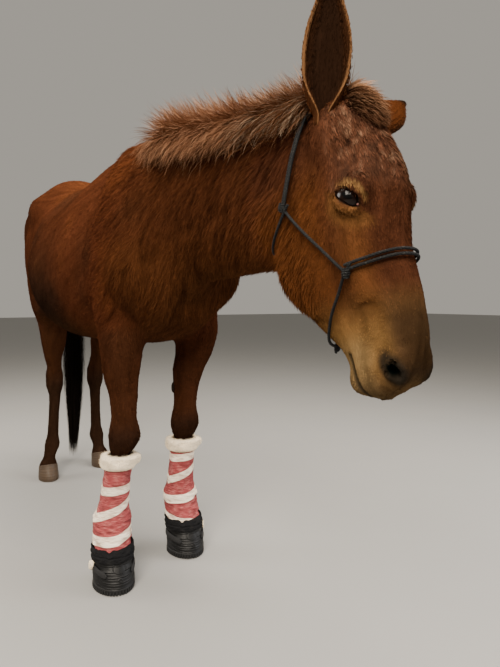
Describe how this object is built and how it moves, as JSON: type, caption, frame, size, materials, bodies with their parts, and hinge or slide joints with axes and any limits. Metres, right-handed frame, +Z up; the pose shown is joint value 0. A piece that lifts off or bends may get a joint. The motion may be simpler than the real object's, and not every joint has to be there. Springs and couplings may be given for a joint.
{
  "type": "standing mule model",
  "caption": "Life-size still model of a standing chestnut mule with its head low, in a rope halter, with bandaged fore legs in hoof boots.",
  "frame": {"origin": "on the floor, under the middle of the whole animal's box", "axes": "+X to the animal's left, -Y the way it faces, +Z up"},
  "size_m": [0.65, 2.5176, 1.5299],
  "materials": {
    "coat_body": "short glossy reddish-brown coat",
    "coat_neck": "longer, soft brown coat with a bushy mane",
    "coat_head": "short brown coat, pale tan about the muzzle and eyes",
    "coat_ear": "short brown hair, paler at the edges",
    "coat_leg": "short dark brown coat",
    "tail_hair": "long black hair",
    "eye": "wet, dark brown",
    "hoof": "dull grey-brown horn",
    "bandage_padding": "white puffy cotton",
    "bandage_wrap": "red and white elastic bandage",
    "gaiter": "black elastic cloth",
    "boot": "black moulded rubber",
    "halter_rope": "black and grey braided rope",
    "halter_knot": "black and grey braided rope"
  },
  "bodies": {
    "root": {"torso": "coat_body", "neck": "coat_neck", "head": "coat_head", "tail": "tail_hair", "ear_right": "coat_ear", "eye_right": "eye", "ear_left": "coat_ear", "eye_left": "eye", "leg_fore_right": "coat_leg", "hoof_fore_right": "hoof", "leg_fore_left": "coat_leg", "hoof_fore_left": "hoof", "leg_hind_right": "coat_leg", "hoof_hind_right": "hoof", "leg_hind_left": "coat_leg", "hoof_hind_left": "hoof", "padding_fore_right": "bandage_padding", "wrap_fore_right": "bandage_wrap", "gaiter_fore_right": "gaiter", "boot_fore_right": "boot", "padding_fore_left": "bandage_padding", "wrap_fore_left": "bandage_wrap", "gaiter_fore_left": "gaiter", "boot_fore_left": "boot", "halter_crown_front": "halter_rope", "halter_crown_rear": "halter_rope", "halter_throat": "halter_rope", "halter_nose_upper": "halter_rope", "halter_nose_lower": "halter_rope", "halter_jaw": "halter_rope", "halter_cheek_right": "halter_rope", "halter_cheek_left": "halter_rope", "halter_knot_cheek_right": "halter_knot", "halter_knot_side_right": "halter_knot", "halter_knot_cheek_left": "halter_knot", "halter_knot_side_left": "halter_knot", "halter_knot_chin": "halter_knot"}
  },
  "joints": []
}
